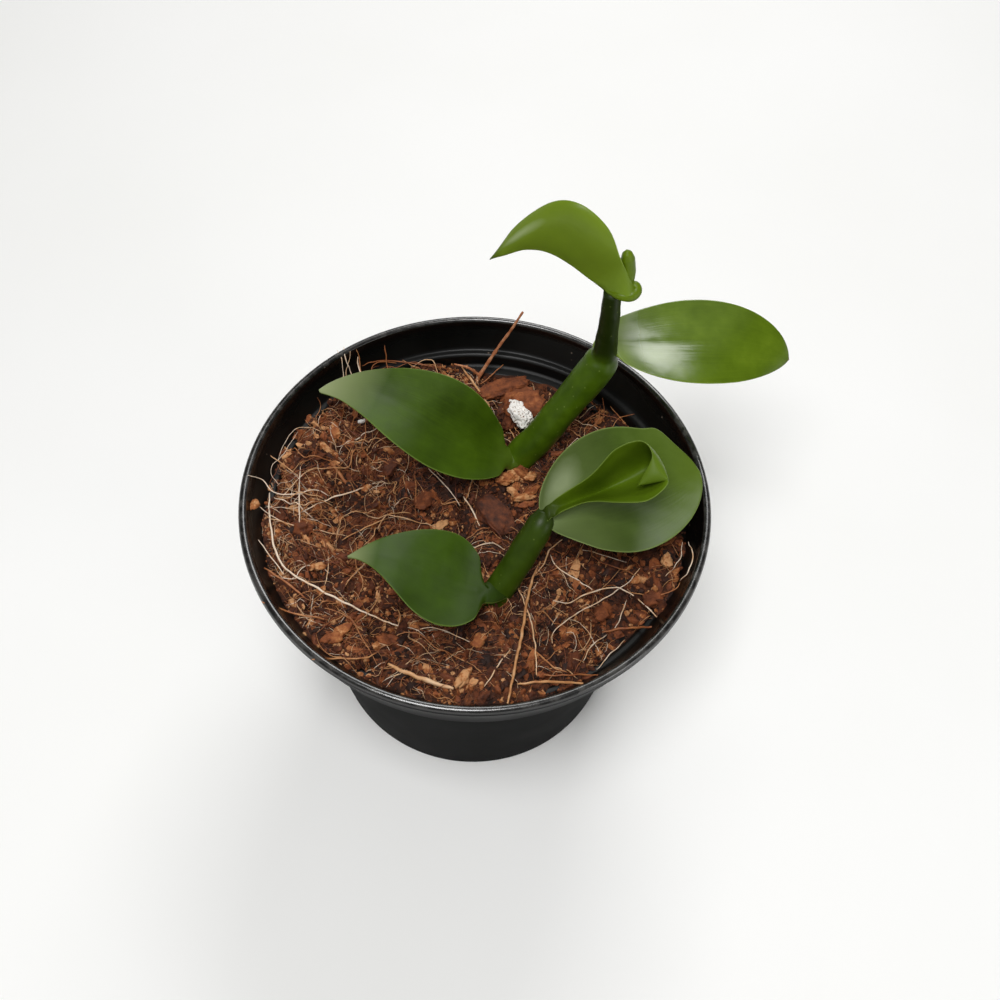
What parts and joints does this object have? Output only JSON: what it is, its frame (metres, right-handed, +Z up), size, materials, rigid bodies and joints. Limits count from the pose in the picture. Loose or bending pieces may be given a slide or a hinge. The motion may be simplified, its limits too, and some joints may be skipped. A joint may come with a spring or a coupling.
{
  "type": "vanilla orchid",
  "caption": "Young vanilla orchid with fleshy stems and thick oval leaves, rooted in coir and bark in a round black nursery pot.",
  "frame": {"origin": "middle of the pot's underside", "axes": "+Z up along the pot's axis; -Y towards the viewer of the picture, +X to the viewer's right, where the rear cutting's side leaf points"},
  "size_m": [0.1803, 0.152, 0.1913],
  "materials": {
    "black_plastic": "satin black, moulded",
    "coir": "rough, damp coconut fibre and bark fines",
    "bark": "rough reddish-brown bark",
    "dark_bark": "rough dark bark",
    "pale_stone": "crumbly, matt white",
    "dried_root": "dry, reddish fibre",
    "stem_green": "smooth, slightly glossy skin",
    "leaf_green": "thick waxy leaf, satin gloss",
    "young_green": "thick waxy young leaf, satin gloss"
  },
  "bodies": {
    "root": {"pot": "black_plastic", "growing_medium": "coir", "bark_nugget": "bark", "bark_strip": "bark", "bark_chip": "dark_bark", "perlite_lump": "pale_stone", "twig": "dried_root", "rear_stem": "stem_green", "rear_leaf_low": "leaf_green", "rear_leaf_side": "leaf_green", "rear_leaf_top": "young_green", "rear_shoot_bud": "young_green", "front_stem": "stem_green", "front_leaf_low": "leaf_green", "front_leaf_broad": "leaf_green", "front_leaf_young": "young_green"}
  },
  "joints": []
}
